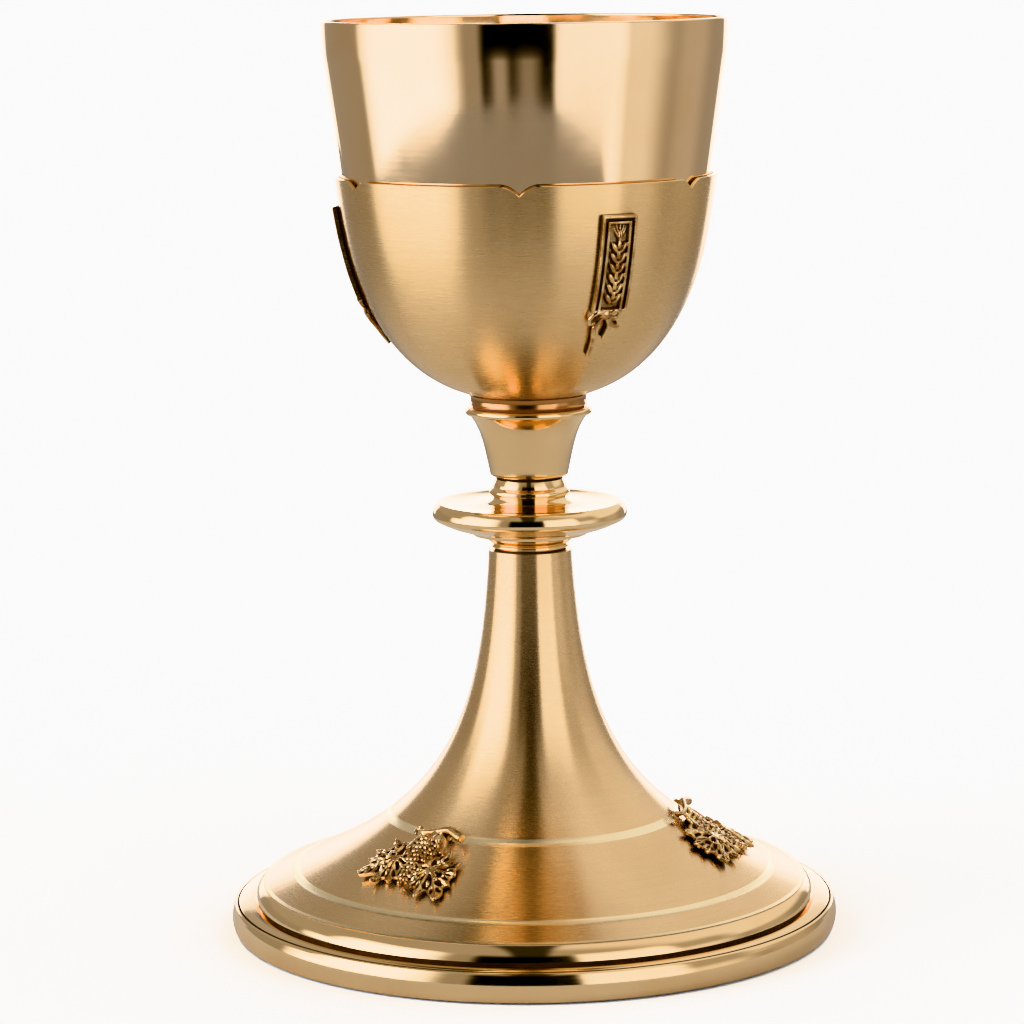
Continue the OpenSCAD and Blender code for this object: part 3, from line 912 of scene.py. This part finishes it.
def hollows(points, faces, depth=0.24, rounds=22):
    """How deep each point lies in the relief: 0 on its high parts, 1 in its hollows.

    Each point is compared with the same relief after it has been smoothed away.
    """
    p = np.array(points)
    corners = np.array([f for f in faces if len(f) == 4])
    a = np.concatenate([corners[:, i] for i in range(4)])
    b = np.concatenate([corners[:, (i + 1) % 4] for i in range(4)])
    links = np.bincount(a, minlength=len(p)) + np.bincount(b, minlength=len(p))
    diagonal = np.cross(p[corners[:, 2]] - p[corners[:, 0]], p[corners[:, 3]] - p[corners[:, 1]])
    normal = np.stack([sum(np.bincount(corners[:, i], diagonal[:, axis], len(p)) for i in range(4))
                       for axis in range(3)], 1)
    normal /= np.linalg.norm(normal, axis=1)[:, None] + 1e-9
    q = p.copy()
    for _ in range(rounds):
        q = np.stack([np.bincount(a, q[b, axis], len(p)) + np.bincount(b, q[a, axis], len(p))
                      for axis in range(3)], 1) / np.maximum(links, 1)[:, None]
    sunk = ((q - p) * normal).sum(1) / depth
    # Points low over the surface that the casting sits on count as hollow too, so painted shade gathers
    # where the casting meets it.
    buried = 1 - p[:, 2] / 0.9
    return np.clip(np.maximum(sunk, buried), 0, 1)


def shade_recess(obj, values):
    """Stores how deep each point lies in the relief, for the painted shade of the cast finish."""
    layer = obj.data.attributes.new("recess", "FLOAT", "POINT")
    layer.data.foreach_set("value", values)


# Pairs of (length up the foot's curve, height), filled when a casting is first seated.
FOOT_TABLE = []


def foot_at(along):
    """The height on the foot's curve that lies along millimetres up it from the castings' seat."""
    if not FOOT_TABLE:
        z, s = VINE_SEAT_Z, 0.0
        step = 0.05
        FOOT_TABLE.append((0.0, z))
        while z < VINE_SEAT_Z + 16:
            s += math.dist(foot_point(z), foot_point(z + step))
            z += step
            FOOT_TABLE.append((s, z))
        z, s = VINE_SEAT_Z, 0.0
        while z > FOOT_EDGE_Z:
            s -= math.dist(foot_point(z), foot_point(z - step))
            z -= step
            FOOT_TABLE.insert(0, (s, z))
    low, high = 0, len(FOOT_TABLE) - 1
    while high - low > 1:
        mid = (low + high) // 2
        low, high = (mid, high) if FOOT_TABLE[mid][0] <= along else (low, mid)
    (s0, z0), (s1, z1) = FOOT_TABLE[low], FOOT_TABLE[high]
    return z0 + (z1 - z0) * (along - s0) / (s1 - s0)


def turned_to(bearing, r, across, z):
    """A point at radius r whose bearing is across millimetres further round than bearing."""
    a = math.radians(bearing - 90) + across / max(r, 1)
    return r * math.cos(a), r * math.sin(a), z


def on_foot(bearing, point):
    """Lays a point of the flat vine casting on the foot."""
    x, y, h = point
    z = foot_at(y)
    seat_r = foot_r(z)
    r, z = foot_point(z, h)
    return turned_to(bearing, r, x * r / seat_r, z)


def wheat_plaque_mesh():
    """The wheat plaque, flat: a double frame round an ear of wheat, tied with a ribbon."""
    bm = bmesh.new()
    half_w, height = 4.0, 20.4

    def bar(x0, x1, y0, y1, h0, h1, taper=0.12):
        low = [(x0, y0, h0), (x1, y0, h0), (x1, y1, h0), (x0, y1, h0)]
        high = [(x0 + taper, y0 + taper, h1), (x1 - taper, y0 + taper, h1),
                (x1 - taper, y1 - taper, h1), (x0 + taper, y1 - taper, h1)]
        v = [bm.verts.new(p) for p in low + high]
        for f in ((3, 2, 1, 0), (4, 5, 6, 7), (0, 1, 5, 4), (1, 2, 6, 5), (2, 3, 7, 6), (3, 0, 4, 7)):
            bm.faces.new([v[i] for i in f])

    bar(-half_w, half_w, -height, 0, -0.4, 0.75)
    for inset, width, top in ((0, 0.75, 1.6), (1.2, 0.75, 1.45)):
        x = half_w - inset
        y1, y0 = -inset, -height + inset * 0.3
        for side in (-1, 1):
            a, b = sorted((side * x, side * (x - width)))
            bar(a, b, y0, y1, 0.3, top)
        bar(-x, x, y1 - width, y1, 0.3, top)
    bar(-half_w, half_w, -height, -height + 0.75, 0.3, 1.5)
    axis, ear_y, grain_pitch, grain_rows = 0.25, -17.6, 2.15, 6
    for row in range(grain_rows):
        y = ear_y + row * grain_pitch
        for side in (-1, 1):
            blob(bm, (axis + side * 0.92, y, 1.05), (0.55, 1.35, 0.62), side * -33, 14)
        blob(bm, (axis, y + 0.7, 1.1), (0.42, 1.0, 0.6), 0, 12)
    blob(bm, (axis, ear_y + grain_rows * grain_pitch + 0.3, 1.1), (0.5, 1.4, 0.6), 0, 12)
    for lean, length in ((-26, 2.9), (-13, 3.9), (0, 4.2), (13, 3.9), (26, 2.9)):
        a = math.radians(lean)
        base = (axis + math.sin(a) * 0.9, -5.2 + math.cos(a) * 0.6, 1.0)
        tip = (axis + math.sin(a) * length, -5.2 + math.cos(a) * length * 0.84, 0.82)
        tube(bm, smooth_path([base, tip], 4), [0.2, 0.19, 0.17, 0.14, 0.1], 8)
    blob(bm, (-0.6, -20.9, 1.1), (1.15, 0.95, 0.85), 10, 16)
    ribbons = (
        (0.42, [(-0.8, -20.6, 1.2), (-2.6, -20.2, 1.5), (-4.0, -21.6, 1.3),
                (-3.4, -22.8, 1.1), (-1.0, -21.5, 1.0)]),
        (0.4, [(-0.2, -20.9, 1.2), (1.4, -19.9, 1.5), (2.5, -20.6, 1.3),
               (1.9, -21.6, 1.1), (-0.2, -21.3, 1.0)]),
        (0.5, [(-1.0, -21.2, 1.0), (-2.6, -23.4, 1.3), (-2.1, -26.4, 1.1), (-1.8, -30.0, 0.8)]),
        (0.42, [(-0.2, -21.4, 1.0), (0.6, -23.4, 1.3), (0.2, -26.2, 0.9)]),
        (0.4, [(0.0, -21.4, 1.0), (1.6, -23.2, 1.3), (3.2, -23.6, 1.0)]),
    )
    for radius, path in ribbons:
        tube(bm, smooth_path(path), radius, 10)
    backing = [(-0.6, -20, 0.2), (-2.0, -23.2, 0.1), (-2.1, -26.4, 0.0), (-1.8, -29.8, 0.0)]
    tube(bm, smooth_path(backing), 0.62, 8, 0.9)
    tube(bm, smooth_path([(0, -21, 0.2), (0.6, -23.4, 0.1), (0.2, -26, 0.0)]), 0.6, 8, 0.9)
    tube(bm, smooth_path([(0, -21, 0.2), (1.6, -23.2, 0.1), (3.1, -23.5, 0.0)]), 0.6, 8, 0.9)
    return fused(bm, 0.11)


def on_bowl(bearing, point):
    """Lays a point of the flat wheat plaque on the calyx."""
    x, y, h = point
    z = PLAQUE_TOP_Z + y
    step = 0.05
    seat_r = calyx_r(z)
    slope = (calyx_r(z + step) - seat_r) / step
    n = math.hypot(1, slope)
    return turned_to(bearing, seat_r + h / n, x * (seat_r + h) / seat_r, z - h * slope / n)


def three_castings(flat, lay, bearing, name, body, node):
    """Three castings from one flat mesh, 120 degrees apart, in place of their CAD nodes."""
    points, faces = flat
    recess = hollows(points, faces)
    for i in range(3):
        verts = [lay(bearing + 120 * i, p) for p in points]
        obj = finish_mesh(f"{name}_{i + 1}", verts, faces, sharp=80)
        shade_recess(obj, recess)
        stands_for(obj, body, f"{node}_{i + 1}", "cast_gilt", CAST)


# ------------------------------------------------------------ assembly

# The second material of the base ring, knop collar and neck ring paints dark lines of shade.
stands_for(base_moulding(), "foot", "base_ring", "polished_gilt", POLISHED, PAINTED_SHADE_METAL)
stands_for(foot_shell(), "foot", "foot_shell", "satin_gilt", SATIN, BRIGHT_CUT)
stands_for(knop_collar(), "foot", "knop_collar", "polished_gilt", POLISHED, PAINTED_SHADE_METAL)
stands_for(knop(), "foot", "knop", "polished_gilt", POLISHED)
stands_for(neck_ring(), "foot", "neck_ring", "polished_gilt", POLISHED, PAINTED_SHADE_METAL)
stands_for(stem_flare(), "foot", "stem_flare", "polished_gilt", POLISHED)
stands_for(tie_rod(), "foot", "tie_rod", "threaded_brass", THREADED)
stands_for(hex_nut("lock_nut_hex", "lock_nut"), "foot", "lock_nut", "plain_brass", BRASS)
stands_for(hex_nut("foot_nut_hex", "foot_nut"), "foot", "foot_nut", "plain_brass", BRASS)
stands_for(clamp_plate(), "foot", "clamp_plate", "plain_brass", BRASS)
stands_for(spring_washer(), "foot", "spring_washer", "spring_steel", STEEL)
stands_for(seat_washer(), "seat", "seat_washer", "fibre", FIBRE)
stands_for(cup_boss(), "bowl", "cup_boss", "plain_brass", BRASS)
stands_for(collar_ring(), "bowl", "collar_ring", "polished_gilt", SHADED_COLLAR_GOLD)
stands_for(calyx(), "bowl", "calyx", "satin_gilt", CALYX_SATIN, POLISHED)
stands_for(cup(), "bowl", "cup", "cup_gilt", CUP_GOLD)
three_castings(vine_casting_mesh(), on_foot, VINE_BEARING, "vine_casting", "foot", "vine_applique")
three_castings(wheat_plaque_mesh(), on_bowl, PLAQUE_BEARING, "wheat_relief", "bowl", "wheat_plaque")


# ------------------------------------------------------------ studio

DEGREES_PER_RADIAN = 57.2958
TENT_LEVEL = 0.38
BACKDROP_LEVEL = 4.0
FLOOR_TONE = 0.82
FLOOR_GAIN = 3.4
# The tent's light is warm, and this share of each channel makes the floor that is seen neutral.
FLOOR_BALANCE = (0.93, 0.97, 1.04)
# The paper's near and far tones: the near part paints the light falling by the chalice, the far part
# paints the shade towards the camera side.
PAPER_TONES = (0.74, 0.4)
PAPER_LIFT = 0.00005


def studio_world():
    """A pale studio seen by the camera, and a light tent with a slit at the front in reflections."""
    world = bpy.data.worlds.new("studio")
    bpy.context.scene.world = world
    world.use_nodes = True
    g = Graph(world.node_tree)
    way = g.node("ShaderNodeSeparateXYZ", {0: g.node("ShaderNodeTexCoord").outputs["Generated"]}).outputs
    front = g.math("MULTIPLY", way[1], -1.0)
    bearing = g.math("MULTIPLY", g.math("ARCTAN2", way[0], front), DEGREES_PER_RADIAN)

    def bank(centre, half, soft, strength):
        """One panel of the tent, with soft edges, at a bearing from the camera's side."""
        off = g.math("ABSOLUTE", g.math("SUBTRACT", bearing, centre))
        return g.math("MULTIPLY", g.ramp(off, half - soft, half + soft, 1.0, 0.0), strength)

    low_panel = g.math("MULTIPLY", bank(70, 16, 12, 0.55), g.ramp(way[2], 0.1, 0.3, 1.0, 0.2))
    panels = [bank(-74, 27, 9, 5.2), bank(-44, 6, 5, 0.8), bank(38, 20, 5, 1.7), low_panel,
              bank(112, 14, 10, 0.15)]
    total = TENT_LEVEL
    for panel in panels:
        total = g.math("ADD", total, panel)
    slit = g.math("SUBTRACT", 1.0, bank(-4, 21, 2.5, 1.0))
    total = g.math("MULTIPLY", total, slit)
    # Low down, the slit is dark but for three streaks.
    below = g.ramp(way[2], -0.24, -0.12, 1.0, 0.0)
    for streak in (bank(-14, 4, 3, 0.34), bank(2, 5, 4, 0.24), bank(-6, 16, 2, 0.06)):
        total = g.math("ADD", total, g.math("MULTIPLY", streak, below))
    behind = g.ramp(g.math("ABSOLUTE", bearing), 150, 160, 0.0, 8.0)
    total = g.math("ADD", total, behind)
    left_roof = g.ramp(way[0], -0.18, -0.11, 0.45, 0.04)
    right_roof = g.math("MULTIPLY", g.ramp(way[0], 0.06, 0.12, 0.0, 0.9),
                        g.ramp(way[1], -0.6, -0.1, 0.5, 1.0))
    roof = g.math("ADD", left_roof, right_roof)
    front_ceiling = g.ramp(way[2], 0.45, 0.7)
    back_ceiling = g.ramp(way[2], 0.14, 0.3)
    ceiling = g.mix(g.ramp(way[1], -0.15, 0.1), front_ceiling, back_ceiling)
    total = g.math("ADD", g.math("MULTIPLY", total, g.math("SUBTRACT", 1.0, ceiling)),
                   g.math("MULTIPLY", ceiling, roof))
    seen = g.node("ShaderNodeLightPath").outputs["Is Camera Ray"]
    level = g.math("ADD", g.math("MULTIPLY", total, g.math("SUBTRACT", 1.0, seen)),
                   g.math("MULTIPLY", seen, BACKDROP_LEVEL))
    tint = g.mix(g.ramp(level, 0.3, 1.5), rgb(1.0, 0.90, 0.76), rgb(1.0, 0.99, 0.98))
    tint = g.mix(seen, tint, rgb(1.0, 1.0, 1.0))
    shade = g.node("ShaderNodeBackground", {"Color": tint, "Strength": level})
    g.node("ShaderNodeOutputWorld", {"Surface": shade.outputs[0]})


def stage_sheet(name, corners, near, far, gain=1.0):
    """A flat grey sheet, of tone near by the chalice and far away from it.

    The camera's exposure turns a pale floor to plain white, and gain stands for that.
    """
    mesh = bpy.data.meshes.new(name)
    mesh.from_pydata(corners, [], [range(len(corners))])
    sheet = bpy.data.objects.new(name, mesh)
    bpy.context.scene.collection.objects.link(sheet)
    material, g = new_material(name)
    away = g.math("ABSOLUTE", g.node("ShaderNodeVectorMath", {
        0: g.node("ShaderNodeTexCoord").outputs["Object"]}, operation="LENGTH").outputs["Value"])
    # Painted light and shade: a sheet is lighter by the chalice and darker far from it.
    tint = g.mix(g.ramp(away, 0.22, 0.5), rgb(near, near, near), rgb(far, far, far))
    ray = g.node("ShaderNodeLightPath").outputs["Is Camera Ray"]
    tint = g.mix(ray, tint, rgb(*(near * gain * share for share in FLOOR_BALANCE)))
    shade = g.node("ShaderNodeBsdfDiffuse", {"Color": tint})
    g.node("ShaderNodeOutputMaterial", {"Surface": shade.outputs[0]})
    mesh.materials.append(material)
    return sheet


def table():
    """A pale floor for the camera, and the sheet of paper that the polished metal reflects."""
    far = 15.0
    floor = stage_sheet("floor", [(-far, -far, 0), (far, -far, 0), (far, far, 0), (-far, far, 0)],
                        FLOOR_TONE, FLOOR_TONE, gain=FLOOR_GAIN)
    floor.visible_glossy = False
    edge = []
    for bearing in range(-110, 46, 5):
        a = math.radians(bearing)
        reach_out = 0.59 + (0.17 * (bearing / 108) ** 2 if bearing < 0 else 0)
        edge.append((reach_out * math.sin(a), -reach_out * math.cos(a), PAPER_LIFT))
    edge += [(0.42, 1.6, PAPER_LIFT), (-0.72, 1.6, PAPER_LIFT)]
    paper = stage_sheet("paper", edge, *PAPER_TONES)
    paper.visible_camera = False
    paper.visible_diffuse = False
    paper.visible_shadow = False


def camera():
    """The photograph's view: from just above the rim, looking down a little, with a long lens."""
    data = bpy.data.cameras.new("camera")
    data.sensor_width = 36
    data.lens = 133.6
    cam = bpy.data.objects.new("camera", data)
    bpy.context.scene.collection.objects.link(cam)
    cam.location = (0, -0.823, 0.2192)
    down, yaw, roll = math.radians(8.74), math.radians(0.27), math.radians(0.7)
    turn = Euler((math.pi / 2 - down, 0, yaw), "XYZ").to_matrix() @ Matrix.Rotation(-roll, 3, "Z")
    cam.rotation_euler = turn.to_euler()
    bpy.context.scene.camera = cam


studio_world()
table()
camera()
bpy.context.scene.view_settings.view_transform = "Khronos PBR Neutral"
